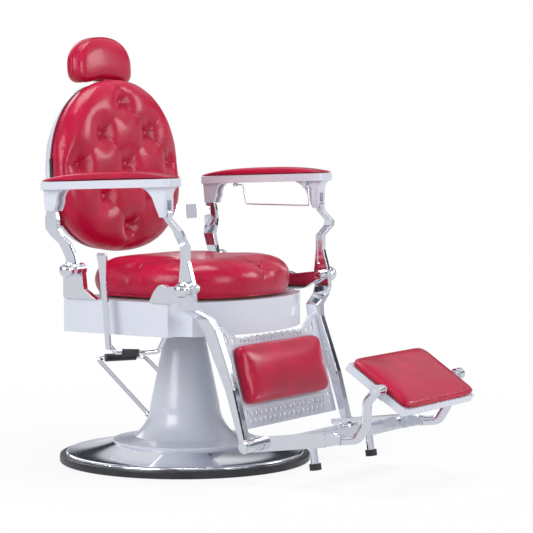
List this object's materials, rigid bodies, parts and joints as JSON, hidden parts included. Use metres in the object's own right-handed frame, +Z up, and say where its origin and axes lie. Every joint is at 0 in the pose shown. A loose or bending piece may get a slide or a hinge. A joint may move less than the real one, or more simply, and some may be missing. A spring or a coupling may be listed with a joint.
{
  "type": "barber chair",
  "caption": "Hydraulic barber chair: round base, pump pedal, cast side frames, buttoned oval back, padded arms, headrest and flip-over foot rest.",
  "frame": {"origin": "centre of the round base, on the floor", "axes": "+Z up, the sitter faces -Y, the sitter's right hand is on the -X side"},
  "size_m": [0.788, 1.1924, 1.1235],
  "materials": {
    "black_rubber": "moulded, satin",
    "black_iron": "black lacquer",
    "chrome": "polished plating",
    "steel": "turned",
    "white_enamel": "glossy enamel",
    "red_leather": "glossy crimson",
    "plywood": "raw birch"
  },
  "bodies": {
    "base": {"base_rim": "black_rubber", "base_plate": "black_iron", "base_cover": "chrome", "pedestal": "white_enamel", "pump_cylinder": "steel", "cylinder_gland": "chrome"},
    "lift": {"ram": "chrome", "swivel_bearing": "black_iron"},
    "seat": {"swivel_plate": "black_iron", "seat_spider": "black_iron", "seat_frame": "white_enamel", "seat_board": "plywood", "seat_cushion": "red_leather", "seat_buttons": "red_leather", "front_bracket_right": "chrome", "front_bracket_left": "chrome", "rear_bracket_right": "chrome", "rear_bracket_left": "chrome", "pivot_bolts": "chrome", "ball_nuts": "chrome", "recline_lock": "black_iron", "lever_bearing": "steel"},
    "lever": {"recline_lever": "chrome", "lever_rod": "chrome", "lever_sleeve": "black_rubber"},
    "back": {"rear_post_right": "chrome", "rear_post_left": "chrome", "back_yoke": "chrome", "back_shell": "white_enamel", "back_board": "plywood", "back_bumpers": "black_rubber", "back_cushion": "red_leather", "back_buttons": "red_leather", "headrest_socket": "steel"},
    "headrest": {"headrest_stem": "chrome", "headrest_pad": "red_leather"},
    "legs": {"leg_casting_right": "chrome", "leg_casting_left": "chrome", "leg_panel": "white_enamel", "calf_pad": "red_leather", "foot_pivot_pins": "chrome"},
    "arm_right": {"arm_frame_right": "white_enamel", "arm_pad_right": "red_leather", "arm_pins_right": "white_enamel"},
    "arm_left": {"arm_frame_left": "white_enamel", "arm_pad_left": "red_leather", "arm_pins_left": "white_enamel"},
    "towel": {"towel_rail": "chrome"},
    "foot_frame": {"foot_bars": "chrome", "foot_crosspiece": "chrome", "stub_feet": "chrome", "stub_tips": "black_rubber"},
    "foot_arms": {"foot_knuckles": "black_iron", "foot_arm_right": "chrome", "foot_arm_left": "chrome"},
    "foot_rest": {"foot_tray": "white_enamel", "foot_pad": "red_leather"},
    "pedal": {"pedal_frame": "chrome", "pedal_grip": "black_rubber"}
  },
  "joints": [
    {"name": "lift_slide", "type": "slide", "parent": "base", "child": "lift", "axis": [0, 0, 1], "range_m": [0, 0.15]},
    {"name": "swivel", "type": "hinge", "parent": "lift", "child": "seat", "pos_m": [0, 0, 0.357], "axis": [0, 0, 1], "range_deg": [-150, 90]},
    {"name": "recline", "type": "hinge", "parent": "seat", "child": "back", "pos_m": [0, 0.12, 0.519], "axis": [-1, 0, 0], "range_deg": [0, 45]},
    {"name": "leg_swing", "type": "hinge", "parent": "seat", "child": "legs", "pos_m": [0, -0.236, 0.483], "axis": [-1, 0, 0], "range_deg": [0, 45]},
    {"name": "arm_link_right", "type": "hinge", "parent": "back", "child": "arm_right", "pos_m": [-0.355, 0.16, 0.707], "axis": [1, 0, 0], "range_deg": [0, 45]},
    {"name": "arm_link_left", "type": "hinge", "parent": "back", "child": "arm_left", "pos_m": [0.355, 0.16, 0.707], "axis": [1, 0, 0], "range_deg": [0, 45]},
    {"name": "headrest_slide", "type": "slide", "parent": "back", "child": "headrest", "axis": [0, 0.061, 0.9981], "range_m": [0, 0.05]},
    {"name": "lever_pull", "type": "hinge", "parent": "seat", "child": "lever", "pos_m": [0, -0.135, 0.372], "axis": [-1, 0, 0], "range_deg": [0, 10], "stiffness_Nm_per_rad": 8, "springref_deg": -20.05},
    {"name": "towel_swing", "type": "hinge", "parent": "arm_left", "child": "towel", "pos_m": [0.328, 0, 0.72149], "axis": [0, 1, 0], "range_deg": [0, 75]},
    {"name": "foot_frame_hinge", "type": "hinge", "parent": "legs", "child": "foot_frame", "pos_m": [0, -0.36, 0.094], "axis": [-1, 0, 0], "range_deg": [-8, 25]},
    {"name": "foot_arm_fold", "type": "hinge", "parent": "foot_frame", "child": "foot_arms", "pos_m": [0, -0.58182, 0.12518], "axis": [-1, 0, 0], "range_deg": [0, 50]},
    {"name": "foot_rest_flip", "type": "hinge", "parent": "foot_arms", "child": "foot_rest", "pos_m": [0, -0.708, 0.253], "axis": [1, 0, 0], "range_deg": [0, 180]},
    {"name": "pedal_press", "type": "hinge", "parent": "base", "child": "pedal", "pos_m": [0.04, 0.06928, 0.115], "axis": [-0.866, 0.5, 0], "range_deg": [0, 20], "stiffness_Nm_per_rad": 20, "springref_deg": -20.05}
  ],
  "couplings": [
    {"joint": "leg_swing", "follows": "recline", "ratio": 1},
    {"joint": "arm_link_right", "follows": "recline", "ratio": 1},
    {"joint": "arm_link_left", "follows": "recline", "ratio": 1}
  ]
}
